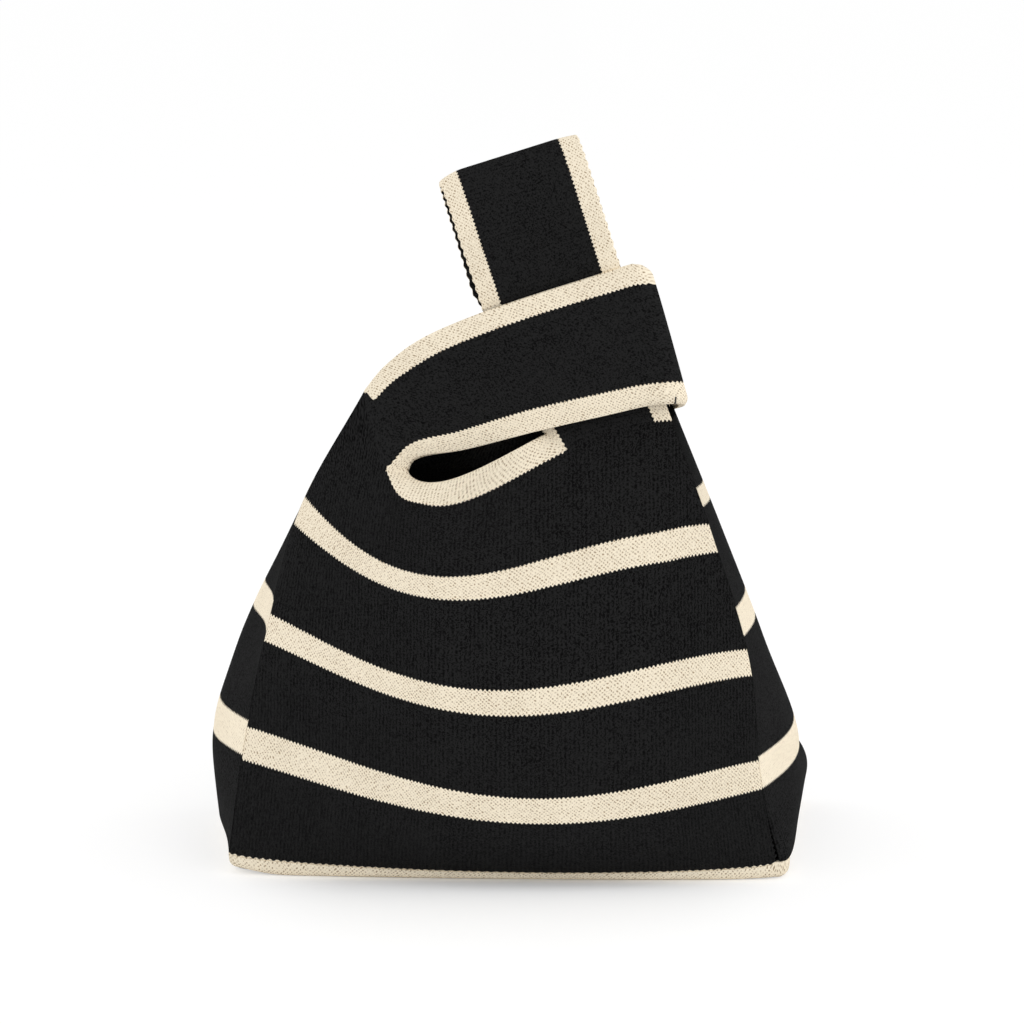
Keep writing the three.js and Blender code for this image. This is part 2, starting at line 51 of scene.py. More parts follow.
cloth = {
    "knit": 2.6,  # thickness of the double knit
    "rib": 1.7,  # from one rib to the next
    "course": 1.5,  # from one row of stitches to the next
    "tooth": 0.68,  # how far a colour change steps at each rib
    "band": 9.0,  # pale edge bands of the mouth and the handles
    "seamRoom": 0.12,  # half the room that a seam leaves between two panels
    "roll": 1.0,  # radius of a free edge
}

centre = Vector((-1.4, 0, 0))  # brings the middle of the bag's box to the origin
camera = {"distance": 1.5, "elevation": 12.0, "aim": (-0.0014, 0, 0.136), "lens": 131.84, "sensor": 36}
light = {
    "world": 0.85, "key": 4.5, "keyAt": (0.9, -1.5, 1.6), "keySize": 1.2,
    "side": 2.6, "sideAt": (1.3, 0.15, 0.4), "sideSize": 1.0, "aim": Vector((0, 0, 0.1)),
    "floor": 0.95, "floorSeen": 1.16, "floorRadius": 14,
    "shadow": 0.98, "besideShadow": 0.4, "beside": (0.06, 0.12),  # the shadow is fainter beside the bag
}


def lerp(a, b, t):
    return a + (b - a) * t


def ease(t):
    t = min(1.0, max(0.0, t))
    return t * t * (3 - 2 * t)


# Camera, floor and light


def makeCamera():
    data = bpy.data.cameras.new("camera")
    data.lens, data.sensor_width = camera["lens"], camera["sensor"]
    data.clip_start, data.clip_end = 0.05, 100
    made = bpy.data.objects.new("camera", data)
    e = math.radians(camera["elevation"])
    away = Vector((0, -math.cos(e), math.sin(e)))
    made.location = Vector(camera["aim"]) + away * camera["distance"]
    made.rotation_mode = "QUATERNION"
    made.rotation_quaternion = (-away).to_track_quat("-Z", "Y")
    bpy.context.collection.objects.link(made)
    bpy.context.scene.camera = made


class Wire:  # a socket in a node tree, so that shader maths can be written as sums
    def __init__(self, desk, socket):
        self.desk, self.socket = desk, socket

    def math(self, operation, *others):
        return self.desk.maths(operation, self, *others)

    def __add__(self, other): return self.math("ADD", other)
    def __sub__(self, other): return self.math("SUBTRACT", other)
    def __rsub__(self, other): return self.desk.maths("SUBTRACT", other, self)
    def __mul__(self, other): return self.math("MULTIPLY", other)
    def __truediv__(self, other): return self.math("DIVIDE", other)
    def __abs__(self): return self.math("ABSOLUTE")
    __radd__, __rmul__ = __add__, __mul__

    def floor(self): return self.math("FLOOR")
    def cosine(self): return self.math("COSINE")
    def most(self, other): return self.math("MAXIMUM", other)

    def between(self, low, high):  # 0 below low, 1 above high
        sockets = {"Value": self, "From Min": low, "From Max": high}
        return self.desk.node("ShaderNodeMapRange", {"interpolation_type": "SMOOTHSTEP"}, sockets)


class Desk:  # one node tree
    def __init__(self, tree):
        self.tree = tree
        tree.nodes.clear()

    def node(self, kind, settings, sockets, output=0):
        made = self.tree.nodes.new(kind)
        for key, value in settings.items():
            setattr(made, key, value)
        pairs = sockets.items() if isinstance(sockets, dict) else enumerate(sockets)
        for key, value in pairs:
            if isinstance(value, Wire):
                self.tree.links.new(value.socket, made.inputs[key])
            else:
                made.inputs[key].default_value = value
        return Wire(self, made.outputs[output]) if len(made.outputs) else made

    def maths(self, operation, *values):
        return self.node("ShaderNodeMath", {"operation": operation}, values)

    def mix(self, share, a, b):
        return self.node("ShaderNodeMix", {"data_type": "RGBA"}, {0: share, 6: a, 7: b}, 2)

    def cloud(self, place, scale, detail, dimensions="2D"):
        sockets = {"Vector": place, "Scale": scale, "Detail": detail}
        return self.node("ShaderNodeTexNoise", {"noise_dimensions": dimensions}, sockets)

    def chance(self, x, y):  # one random value for each whole x and y
        cell = self.node("ShaderNodeCombineXYZ", {}, [x.floor(), y.floor(), 0.0])
        return self.node("ShaderNodeTexWhiteNoise", {"noise_dimensions": "2D"}, {"Vector": cell}, "Value")

    def surface(self, settings):
        finish = self.node("ShaderNodeBsdfPrincipled", {}, settings)
        self.node("ShaderNodeOutputMaterial", {}, {"Surface": finish})


def seenRays(desk):  # camera, mirror and glass rays see the plain white surround
    kinds = ("Is Camera Ray", "Is Glossy Ray", "Is Transmission Ray")
    seen, mirrored, through = (desk.node("ShaderNodeLightPath", {}, {}, kind) for kind in kinds)
    return seen.most(mirrored).most(through)


def makeSurround():
    world = bpy.data.worlds.new("surround")
    world.use_nodes = True
    bpy.context.scene.world = world
    desk = Desk(world.node_tree)
    strength = light["world"] + seenRays(desk) * (1 - light["world"])
    glow = desk.node("ShaderNodeBackground", {}, {"Color": (1, 1, 1, 1), "Strength": strength})
    desk.node("ShaderNodeOutputWorld", {}, {"Surface": glow})

    material = bpy.data.materials.new("paleFloor")
    material.use_nodes = True
    desk = Desk(material.node_tree)
    tone, seen = light["floor"], light["floorSeen"]
    plain = desk.node("ShaderNodeBsdfDiffuse", {}, {"Color": (tone, tone, tone, 1)})
    paper = desk.node("ShaderNodeBsdfDiffuse", {}, {"Color": (seen, seen, seen, 1)})
    white = desk.node("ShaderNodeEmission", {}, {"Color": (1, 1, 1, 1), "Strength": 1.0})
    place = desk.node("ShaderNodeTexCoord", {}, {}, "Object")
    beside = abs(desk.node("ShaderNodeSeparateXYZ", {}, [place], "X")).between(*light["beside"])
    share = light["shadow"] - beside * (light["shadow"] - light["besideShadow"])
    soft = desk.node("ShaderNodeMixShader", {}, [share, white, paper])
    both = desk.node("ShaderNodeMixShader", {}, [seenRays(desk), plain, soft])
    desk.node("ShaderNodeOutputMaterial", {}, {"Surface": both})

    bm = bmesh.new()
    bmesh.ops.create_circle(bm, cap_ends=True, segments=64, radius=light["floorRadius"])
    mesh = bpy.data.meshes.new("floor")
    bm.to_mesh(mesh)
    bm.free()
    mesh.materials.append(material)
    floor = bpy.data.objects.new("floor", mesh)
    bpy.context.collection.objects.link(floor)

    softBox("key", light["key"], light["keySize"], light["keyAt"])
    for name, side in (("leftBox", left), ("rightBox", right)):
        x, y, z = light["sideAt"]
        softBox(name, light["side"], light["sideSize"], (side * x, y, z))


def softBox(name, energy, size, at):
    lamp = bpy.data.lights.new(name, "AREA")
    lamp.energy, lamp.size = energy, size
    made = bpy.data.objects.new(name, lamp)
    made.location = at
    made.rotation_mode = "QUATERNION"
    made.rotation_quaternion = (light["aim"] - made.location).to_track_quat("-Z", "Y")
    bpy.context.collection.objects.link(made)


bpy.context.scene.view_settings.view_transform = "Standard"
makeCamera()
makeSurround()
print("camera, floor and light made")

# Finishes: ribbed knit in two yarns, and the linking thread

knitLook = {
    "black": (0.0180, 0.0180, 0.0182, 1),
    # dark end of the black: painted shade in the grooves and pits, and darker specks of yarn
    "blackShadeAndSpeck": (0.0035, 0.0035, 0.0036, 1),
    "cream": (1.0, 0.895, 0.71, 1),
    # dark end of the cream: painted shade in the holes between loops, and darker specks of yarn
    "creamShadeAndSpeck": (0.40, 0.30, 0.195, 1),
    "relief": 0.22,  # height of a rib, mm
    "bump": 0.7,
    "soft": 0.1,  # blur of a colour change, mm
    "wander": (0.6, 0.4),  # how far the ribs and the courses stray
    "jostle": 0.9,  # how far single loops stray
    "uneven": 0.15,  # of the steps at a colour change, mm
    "roughness": 0.92,
    "gloss": 0.02,
}
# weights, in the black, of painted shade in grooves and pits and of random yarn tone
blackShadeAndGrain = {"groove": 0.42, "pit": 0.3, "chance": 0.45, "speck": 1.3, "fuzz": 0.6, "cloudy": 0.4}
# weights, in the cream, of painted shade in pits and grooves and of random yarn tone
paleShadeAndGrain = {"groove": 0.05, "pit": 0.25, "chance": 0.9, "fuzz": 1.1, "cloudy": 0.3}
hemSmooth = {  # just above the hem the panels are drawn smooth, with less contrast in the painted shade and random yarn tone, and a little darker
    "rows": (15, 105), "mean": 0.3, "shadeAndGrain": (0.55, 1.2), "tone": (0.35, 0.3),
}
teethLook = {  # pale loops between the last black ones of a panel, mm
    "hem": 0.25, "top": 0.42, "over": 0.25, "uneven": 0.2,
}
threadLook = {
    "dark": (0.006, 0.006, 0.007, 1), "pale": (0.022, 0.022, 0.023, 1), "scale": 1800.0,
    "bump": 0.5, "relief": 0.1, "roughness": 0.8, "sheen": 0.1,
}


def finishMaterial(name):
    material = bpy.data.materials.new(name)
    material.use_nodes = True
    return material, Desk(material.node_tree)


def knitMaterial(name, stripes=(), edgeBand=0.0, pale=False, ribbed=1.0, hemTeeth=0.0, shadeAndGrain=1.0):
    # Ribs run along the second direction of the cloth's own map, which is in millimetres
    material, desk = finishMaterial(name)
    flat = desk.node("ShaderNodeUVMap", {"uv_map": "cloth"}, {})
    a = desk.node("ShaderNodeSeparateXYZ", {}, [flat], "X")
    b = desk.node("ShaderNodeSeparateXYZ", {}, [flat], "Y")
    turn = 2 * math.pi
    wander = desk.cloud(flat, scale=0.1, detail=2.0) - 0.5
    rib = a / cloth["rib"] + wander * knitLook["wander"][0]
    course = b / cloth["course"] + wander * knitLook["wander"][1]
    ridge = (rib * turn).cosine()  # 1 on a rib, -1 in a groove
    groove = (1 - ridge) * 0.5
    chance = desk.chance(rib * 2 + 0.5, course * 2 + 0.5) - 0.5
    speck = desk.chance(rib * 4, course * 4) - 0.5
    jostle = (desk.cloud(flat, scale=0.5, detail=1.0) - 0.5) * knitLook["jostle"]
    loops = ((rib + jostle) * turn).cosine() * ((course - jostle) * turn).cosine()
    pit = loops.between(-0.1, 0.95)  # between the loops, every other row half a rib over
    fuzz = desk.cloud(flat, scale=1.6, detail=3.0, dimensions="3D") - 0.5
    cloudy = desk.cloud(flat, scale=0.045, detail=3.0) - 0.5
    step = ridge * (-cloth["tooth"] / 2) + chance * knitLook["uneven"]
    if hemTeeth or edgeBand:  # how far the nearest pale edge is
        rim = desk.node("ShaderNodeUVMap", {"uv_map": "edge"}, {})
        d = desk.node("ShaderNodeSeparateXYZ", {}, [rim], "X")

    cream = None
    soft = knitLook["soft"]
    for middle, width in stripes:
        one = (width / 2 - abs(b + step - middle)).between(-soft, soft)
        cream = one if cream is None else cream.most(one)
    if hemTeeth:  # the pale base and the pale bands above show between the last loops of the panel
        uneven = chance * teethLook["uneven"]
        low = (rib * math.pi).cosine() * teethLook["hem"] + uneven - b + hemTeeth
        high = ridge * teethLook["top"] + uneven + teethLook["over"] - d
        cream = cream.most(low.between(-soft, soft)).most(high.between(-soft, soft))
    if edgeBand:
        cream = (edgeBand - d - step).between(-soft, soft)

    # painted shade: the black darkens in the grooves between ribs and the pits between loops, along with
    # random specks, fuzz and clouds of yarn tone
    dark = groove * (blackShadeAndGrain["groove"] * ribbed) + pit * blackShadeAndGrain["pit"] + chance * blackShadeAndGrain["chance"]
    dark += speck * blackShadeAndGrain["speck"] + fuzz * blackShadeAndGrain["fuzz"] + cloudy * blackShadeAndGrain["cloudy"]
    if hemTeeth:
        up = b.between(*hemSmooth["rows"])
        dark = (dark - hemSmooth["mean"]) * lerp(*hemSmooth["shadeAndGrain"], up) + lerp(*hemSmooth["tone"], up)
    black = desk.mix(dark.between(-0.1, 1.0), knitLook["black"], knitLook["blackShadeAndSpeck"])
    # painted shade: the cream darkens in the pits between loops and the grooves between ribs, along with
    # random fuzz and clouds of yarn tone
    hollow = pit * (paleShadeAndGrain["pit"] + paleShadeAndGrain["chance"] * (chance + 0.5)) + groove * paleShadeAndGrain["groove"]
    hollow += fuzz * paleShadeAndGrain["fuzz"] + cloudy * paleShadeAndGrain["cloudy"]
    paleYarn = desk.mix((hollow * shadeAndGrain).between(-0.1, 1.1), knitLook["cream"], knitLook["creamShadeAndSpeck"])
    if pale:
        colour = paleYarn
    elif cream is None:
        colour = black
    else:
        colour = desk.mix(cream, black, paleYarn)
    height = ridge * (0.5 * ribbed) - pit * 0.35 + fuzz * 0.5
    relief = {"Strength": knitLook["bump"], "Distance": knitLook["relief"] * mm, "Height": height}
    desk.surface({
        "Base Color": colour, "Roughness": knitLook["roughness"], "Specular IOR Level": knitLook["gloss"],
        "Normal": desk.node("ShaderNodeBump", {}, relief),
    })
    return material


def threadMaterial():
    material, desk = finishMaterial("linkingThread")
    place = desk.node("ShaderNodeTexCoord", {}, {}, "Object")
    ply = desk.cloud(place, scale=threadLook["scale"], detail=2.0, dimensions="3D")
    relief = {"Strength": threadLook["bump"], "Distance": threadLook["relief"] * mm, "Height": ply}
    desk.surface({
        "Base Color": desk.mix(ply, threadLook["dark"], threadLook["pale"]),
        "Normal": desk.node("ShaderNodeBump", {}, relief),
        "Roughness": threadLook["roughness"], "Sheen Weight": threadLook["sheen"],
    })
    return material


stripes = {  # middle and width of each stripe, up the cloth
    "panel": ((35.7, 11.2), (79.7, 9.9), (123.9, 10.4)),
    "leftGusset": ((37.6, 12.0), (84, 11.5), (131, 11.0)),
    "rightGusset": ((36.5, 12.5), (95, 10.5), (141.5, 7.0)),
}
finishes = {"panel": knitMaterial("panelKnit", stripes["panel"], hemTeeth=0.3)}
# the gussets' cream gets less contrast in the painted shade and random yarn tone, so it is smoother and
# lighter
for name in ("leftGusset", "rightGusset"):
    finishes[name] = knitMaterial(name + "Knit", stripes[name], shadeAndGrain=0.6)
finishes["strap"] = knitMaterial("bandedKnit", edgeBand=cloth["band"], ribbed=0.5)
finishes["pale"] = knitMaterial("paleKnit", pale=True)
finishes["reverse"] = knitMaterial("reverseKnit")
finishes["thread"] = threadMaterial()
print("finishes made")

# The body's loft

body = {  # by rows of the knit, counted in millimetres of cloth above the hem
    "row": (0, 36, 80, 125, 171),
    "leftX": (-111.6, -104.9, -96, -84.3, -58.6),
    "leftOut": (50, 48, 38, 6, 5.6),
    "leftZ": (9.4, 54.1, 98.1, 139.3, 186),
    "rightX": (103.7, 97.6, 93.5, 79.8, 63.5),
    "rightOut": (56.2, 48, 38.3, 26, 5.0),
    "rightZ": (7.5, 41.1, 84, 129.9, 174.4),
    "rightShift": (16.2, 18.6, 2.5, 0, -0.5),  # how much further right the back edge is
    "sagDepth": (5.3, 15.8, 19.2, 20.9, 38.9),
    "sagAt": (0.5, 0.523, 0.435, 0.337, 0.224),
    "sagSharp": (0.45, 1.19, 1.45, 1.87, 1.48),
    "crownDepth": (17.5, 18, 19, 27, 21.5),
    "crownAt": (0.56, 0.5, 0.47, 0.32, 0.24),
    "crownSharp": (0.8, 0.8, 0.85, 1.1, 2.4),
    "fan": (1, 1, 1.05, 1.3, 1.88),
    "bellyLeft": (7.0, 14.4, 6.5, 0, 0),
    "bellyRight": (5.0, 8, 6.6, 3.5, 1.6),
    "skewLeft": (0.3, -0.1, 0.4, 0, 0),
}
slump = {"left": 3.0, "right": -5.0, "from": 0.6}  # how much lower the back hangs at its top
lift = 8.0  # how much less the mouth sags at the back
swell = {  # of the gussets just above the hem: how far, at which row, over how many
    "right": (5.0, 9.5, 14.5),
    "left": (1.2, 15.0, 18.0),
}
hemBulge = (0.35, 36.0)  # the right gusset is fullest near the front: power at the hem, up to which row
mouthCorner = {  # fuller at the mouth's lower left
    "from": 0.24, "to": 0.43, "push": Vector((-1.3, 0, -1.5)), "row": 146.0,
}
nearBy = {"across": 0.004, "rows": 0.4}  # how far off the surface's direction is read
drawnIn = (14.8, 21.0)  # how much less the panels swell at the hem, and up to which row
topRow = float(body["row"][-1])
knit = cloth["knit"]


def hump(along, at, sharp):  # a rise and fall of height 1, highest at `at`
    return max(0.0, math.sin(math.pi * along ** (math.log(0.5) / math.log(at)))) ** sharp


@lru_cache(maxsize=None)
def rowAt(height):  # every number of a row, blended smoothly up the body
    rows = body["row"]
    k = 0
    while k < len(rows) - 2 and height >= rows[k + 1]:
        k += 1
    low, high = rows[k], rows[k + 1]
    before = k - 1 if k else 1
    after = k + 2 if k + 2 < len(rows) else k
    p = min(1.0, max(0.0, (height - low) / (high - low)))
    wb = 0.5 * (high - low) / (low - rows[before])
    wa = 0.5 * (high - low) / (rows[after] - high)
    shares = (
        (before, -wb * p**3 + 2 * wb * p**2 - wb * p),
        (k, (1 + wb) * p**3 - (1.5 + 2 * wb) * p**2 + (wb - 0.5) * p + 1),
        (k + 1, -(1 + wa) * p**3 + (1.5 + wa) * p**2 + 0.5 * p),
        (after, wa * p**3 - wa * p**2),
    )
    line = {key: sum(values[i] * share for i, share in shares) for key, values in body.items()}
    for key, side in (("rightShift", "right"), ("bellyLeft", "left")):
        most, row, reach = swell[side]
        line[key] += most * max(0.0, 1 - ((height - row) / reach) ** 2)
    line["crownDepth"] -= drawnIn[0] * max(0.0, 1 - height / drawnIn[1]) ** 2
    return line


def slumpAt(face, across, height):
    toRight = ease((across - slump["from"]) / (1 - slump["from"]))
    return lerp(slump["left"], slump["right"], toRight) * (height / topRow) ** 2 if face == back else 0.0


def panelPoint(face, across, height):
    line = rowAt(height)
    a = across ** line["fan"]
    out = lerp(line["leftOut"], line["rightOut"], a)
    out += line["crownDepth"] * hump(a, line["crownAt"], line["crownSharp"])
    sag = line["sagDepth"] - (lift * (height / topRow) ** 2 if face == back else 0)
    z = lerp(line["leftZ"], line["rightZ"], a) - sag * hump(a, line["sagAt"], line["sagSharp"])
    farRight = line["rightX"] + (line["rightShift"] if face == back else 0)
    point = Vector((lerp(line["leftX"], farRight, a), face * out, z - slumpAt(face, a, height)))
    return point + cornerPush(across, height)


def cornerPush(across, height):
    share = (across - mouthCorner["from"]) / (mouthCorner["to"] - mouthCorner["from"])
    if not 0 < share < 1 or height < mouthCorner["row"]:
        return Vector()
    up = (height - mouthCorner["row"]) / (topRow - mouthCorner["row"])
    return mouthCorner["push"] * (math.sin(math.pi * share) * up) ** 2


def gussetPoint(side, across, height):
    line = rowAt(height)
    if side == left:
        skew = line["skewLeft"] * math.sin(2 * math.pi * across)
        bulge = line["bellyLeft"] * (math.sin(math.pi * across) - skew)
        x, out, z = line["leftX"] - bulge, line["leftOut"], line["leftZ"]
    else:
        power, row = hemBulge
        bulge = math.sin(math.pi * across ** lerp(power, 1.0, ease(height / row)))
        x = line["rightX"] + line["rightShift"] * across + line["bellyRight"] * bulge
        out, z = line["rightOut"], line["rightZ"]
    return Vector((x, lerp(-out, out, across), z - slumpAt(back, side, height) * across))


def normalOf(point, across, height, outwards):
    beside, rows = nearBy["across"], nearBy["rows"]
    a0, a1 = max(0.0, across - beside), min(1.0, across + beside)
    h0, h1 = max(0.0, height - rows), min(topRow, height + rows)
    along = point(a1, height) - point(a0, height)
    up = point(across, h1) - point(across, h0)
    return along.cross(up).normalized() * outwards


def panelNormal(face, across, height):
    return normalOf(lambda a, h: panelPoint(face, a, h), across, height, 1 if face == front else -1)


def gussetNormal(side, across, height):
    return normalOf(lambda a, h: gussetPoint(side, a, h), across, height, 1 if side == right else -1)


@lru_cache(maxsize=None)
def seamMitre(face, side, height):  # keeps the same wall on both sides of a corner seam
    a = panelNormal(face, 0.0 if side == left else 1.0, height)
    b = gussetNormal(side, 0.0 if face == front else 1.0, height)
    return (a + b) / (1 + max(a.dot(b), -0.2))


# From a skin to a piece of cloth


def finishPiece(name, bm, materials, bodyName, nodes):
    bmesh.ops.translate(bm, verts=bm.verts[:], vec=centre * mm)
    mesh = bpy.data.meshes.new(name)
    bm.to_mesh(mesh)
    bm.free()
    for material in materials:
        mesh.materials.append(material)
    piece = bpy.data.objects.new(name, mesh)
    bpy.context.collection.objects.link(piece)
    if bodyName:
        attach(piece, bodyName)
    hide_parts(*nodes)
    print(f"{name}: {len(mesh.vertices)} points")
    return piece


def clothMesh(columns, steps, outer, wall, mapAt, free="", ring=False, roll=cloth["roll"], turned=0.0):
    # A grid with both faces of the knit. `outer`, `wall` and `mapAt` take places from 0 to 1 each way;
    # `mapAt` gives the place on the flat cloth and how far the nearest edge is. The sides named in
    # `free` (l, r, b, t) are rolled. The inner face shows the outer finish within `turned` of the middle.
    bm = bmesh.new()
    bmesh.ops.create_grid(bm, x_segments=columns, y_segments=steps, size=0.5)
    bmesh.ops.solidify(bm, geom=bm.faces[:], thickness=0.1)
    place = {v: (v.co.x + 0.5, v.co.y + 0.5, abs(v.co.z) > 0.05) for v in bm.verts}
    low, high = 1e-5, 1 - 1e-5
    if ring:  # closed round, with a pole at the far end
        gone = []
        for f in bm.faces:
            us, vs = [place[v][0] for v in f.verts], [place[v][1] for v in f.verts]
            rim = len({place[v][2] for v in f.verts}) == 2
            if rim and (max(us) < low or min(us) > high or min(vs) > high):
                gone.append(f)
        bmesh.ops.delete(bm, geom=gone, context="FACES")
    clothMap = bm.loops.layers.uv.new("cloth")
    edgeMap = bm.loops.layers.uv.new("edge")
    skins = {}
    for v, (u, w, inside) in place.items():
        key = (round(u * columns), round(w * steps))
        if key not in skins:
            a, b = key[0] / columns, key[1] / steps
            skins[key] = (outer(a, b), wall(a, b), mapAt(a, b))
        point, normal, _ = skins[key]
        v.co = (point - normal * knit if inside else point) * mm
    for f in bm.faces:
        f.smooth = True
        inner = all(place[v][2] for v in f.verts)
        f.material_index = 1 if inner and abs(place[f.verts[0]][0] - 0.5) >= turned else 0
        for loop in f.loops:
            u, w, _ = place[loop.vert]
            a, b, d = skins[(round(u * columns), round(w * steps))][2]
            loop[clothMap].uv = (a, b)
            loop[edgeMap].uv = (d, 0)
    rolled = []
    for e in bm.edges:
        p, q = (place[v] for v in e.verts)
        if p[2] != q[2] or not any(len({place[v][2] for v in f.verts}) == 2 for f in e.link_faces):
            continue
        onSide = {
            "l": max(p[0], q[0]) < low, "r": min(p[0], q[0]) > high,
            "b": max(p[1], q[1]) < low, "t": min(p[1], q[1]) > high,
        }
        if any(onSide[s] for s in free):
            rolled.append(e)
        elif any(onSide.values()):
            e.smooth = False
    if ring:
        bmesh.ops.remove_doubles(bm, verts=bm.verts[:], dist=1e-6)
    bmesh.ops.recalc_face_normals(bm, faces=bm.faces[:])
    rolled = [e for e in rolled if e.is_valid]
    if rolled:
        bmesh.ops.bevel(
            bm, geom=rolled, offset=roll * mm, offset_type="OFFSET", segments=3, profile=0.5,
            affect="EDGES", clamp_overlap=True, material=-1,
        )
        for f in bm.faces:
            f.smooth = True
    return bm


def clothPiece(name, look, bodyName, nodes, slot, **shape):
    bm = clothMesh(**shape)
    return finishPiece(name, bm, [finishes[look], finishes["reverse"]], bodyName, nodes)


# Panels and gussets

cornerShare = 0.1  # of the width of a panel or gusset, over which its wall turns into the corner
hemRoll = 0.45  # radius of the edges that meet in a seam
farOff = 50  # in place of a distance, where no pale edge is near
panels = {
    "columns": 132, "steps": 102, "flatWidth": 222.0, "share": 0.8,
    "slack": ((0.5, 0.022), (0.35, 0.06)),  # of hand-filled cloth: how far, and how fine
    "calm": 12,  # the slack fades within a twelfth of each edge
    "paleAbove": ((0.25, 0.8), (0.969, 1.0)),  # where a pale band stands on the top edge
    "rise": (2.2, 0.9, 95, 20),  # of the top stripe's end: how far, from where, from which row, over how many
}
ribs = {  # upright, and closer away from the middle
    "middle": 15.0, "closer": 0.28, "from": 38.0, "over": 18.0, "straight": 36.0,
}


def uneven(point, size):
    return sum(far * size * noise.noise(point * fine) for far, fine in panels["slack"])


def cornerWall(normal, seams):  # turns into the corner seams at both ends of a row
    def wall(u, v):
        height = v * topRow
        first, last = (seamMitre(*seam, height) for seam in seams)
        made = normal(u, height).lerp(first, ease((cornerShare - u) / cornerShare))
        made = made.lerp(last, ease((cornerShare - 1 + u) / cornerShare))
        return made if v else Vector((made.x, made.y, 0))

    return wall


def makePanel(name, node, face):
    room = cloth["seamRoom"] / panels["flatWidth"]
    columns = panels["columns"]

    def acrossAt(u):
        return lerp(room, 1 - room, u)

    def normal(u, height):
        return panelNormal(face, acrossAt(u), height)

    def outer(u, v):
        point = panelPoint(face, acrossAt(u), v * topRow)
        calm = math.prod(ease(near * panels["calm"]) for near in (u, 1 - u, v, 1 - v))
        return point + normal(u, v * topRow) * uneven(point, calm)

    @lru_cache(maxsize=None)
    def ribPlaces(height):  # along a row, counted in millimetres of cloth from the middle rib
        points = [panelPoint(face, acrossAt(i / columns), height) for i in range(columns + 1)]
        run, zero = [0.0], 0.0
        for p, q in zip(points, points[1:]):
            x = (p.x + q.x) / 2 - ribs["middle"]
            closer = 1 + ribs["closer"] * ease((abs(x) - ribs["from"]) / ribs["over"])
            run.append(run[-1] + math.hypot(q.x - p.x, q.y - p.y) * closer)
            if p.x <= ribs["middle"]:
                zero = lerp(run[-2], run[-1], min(1.0, (ribs["middle"] - p.x) / (q.x - p.x)))
        return [r - zero for r in run]

    def mapAt(u, v):  # below the lowest stripe the ribs lean with the seams
        height = v * topRow
        here = ribPlaces(height)
        spread = 1.0
        if height < ribs["straight"]:
            upper = ribPlaces(ribs["straight"])
            spread = (upper[-1] - upper[0]) / (here[-1] - here[0])
        banded = any(start < acrossAt(u) < end for start, end in panels["paleAbove"])
        far, start, row, rows = panels["rise"]
        rise = far * max(0.0, (u - start) / (1 - start)) * ease((height - row) / rows)
        return here[round(u * columns)] * spread, height - rise, topRow - height if banded else farOff

    return clothPiece(
        name, "panel", "bag", [node], "black_knit",
        columns=columns, steps=panels["steps"], outer=outer,
        wall=cornerWall(normal, ((face, left), (face, right))), mapAt=mapAt, free="lrb", roll=hemRoll,
    )


gussets = {
    "columns": 48, "steps": 102, "flatLeft": 104.0, "flatRight": 110.0, "share": 0.68,
    "closer": 1.12,  # of the ribs
    "fall": (4.6, 105, 30),  # of the right one's top stripe: how far, above which row, over how many
}


def makeGusset(name, node, side):
    flatWidth = gussets["flatLeft" if side == left else "flatRight"]
    room = cloth["seamRoom"] / flatWidth

    def normal(u, height):
        return gussetNormal(side, lerp(room, 1 - room, u), height)

    def outer(u, v):
        return gussetPoint(side, lerp(room, 1 - room, u), v * topRow)

    def mapAt(u, v):
        far, row, rows = gussets["fall"]
        fall = far * u * ease((v * topRow - row) / rows) if side == right else 0
        return u * flatWidth * gussets["closer"], v * topRow + fall, farOff

    piece = clothPiece(
        name, name, "bag", [node], "black_knit",
        columns=gussets["columns"], steps=gussets["steps"], outer=outer,
        wall=cornerWall(normal, ((front, side), (back, side))), mapAt=mapAt, free="lrb", roll=hemRoll,
    )


frontPanel = makePanel("frontPanel", "front_panel", front)
backPanel = makePanel("backPanel", "back_panel", back)
makeGusset("leftGusset", "left_gusset", left)
makeGusset("rightGusset", "right_gusset", right)

# The pale base, a shallow tray

base = {
    "round": 2.4, "cornerRound": 5.0, "cornerReach": 22,  # of the turned-up rim
    "rimShare": 0.42, "rimPowers": (1.6, 1.1), "rimCloth": 4, "rimRoll": 0.4, "gap": 0.15,
    "tuck": 2.6, "tuckFrom": 0.05, "tuckRate": 7,  # drawn in under the gussets, away from the corners
    "wide": 110, "deep": 50, "steps": 26, "flat": (0.234, 0.132), "area": 0.030,
}
softCorner = {  # the corner that stands off the table
    "at": Vector((-111.6, -50, 0)), "lift": 3.6, "reach": 25.0,
}


def hemLoop():
    wide, deep = base["wide"], base["deep"]

    def panelHem(face, share):
        return panelPoint(face, share, 0.0), panelNormal(face, share, 0.0)

    def corner(face, side):
        return panelPoint(face, 0.0 if side == left else 1.0, 0.0), seamMitre(face, side, 0.0)

    def gussetHem(side, share):  # drawn in under the gusset, whose lowest rows hang over it
        normal = gussetNormal(side, share, 0.0)
        tuck = base["tuck"] * ease((min(share, 1 - share) - base["tuckFrom"]) * base["tuckRate"])
        return gussetPoint(side, share, 0.0) - normal * tuck, normal

    loop = [panelHem(front, i / wide) for i in range(1, wide)] + [corner(front, right)]
    loop += [gussetHem(right, i / deep) for i in range(1, deep)] + [corner(back, right)]
    loop += [panelHem(back, i / wide) for i in range(wide - 1, 0, -1)] + [corner(back, left)]
    loop += [gussetHem(left, i / deep) for i in range(deep - 1, 0, -1)] + [corner(front, left)]
    return [(p, Vector((n.x, n.y, 0)).normalized()) for p, n in loop]


hem = hemLoop()


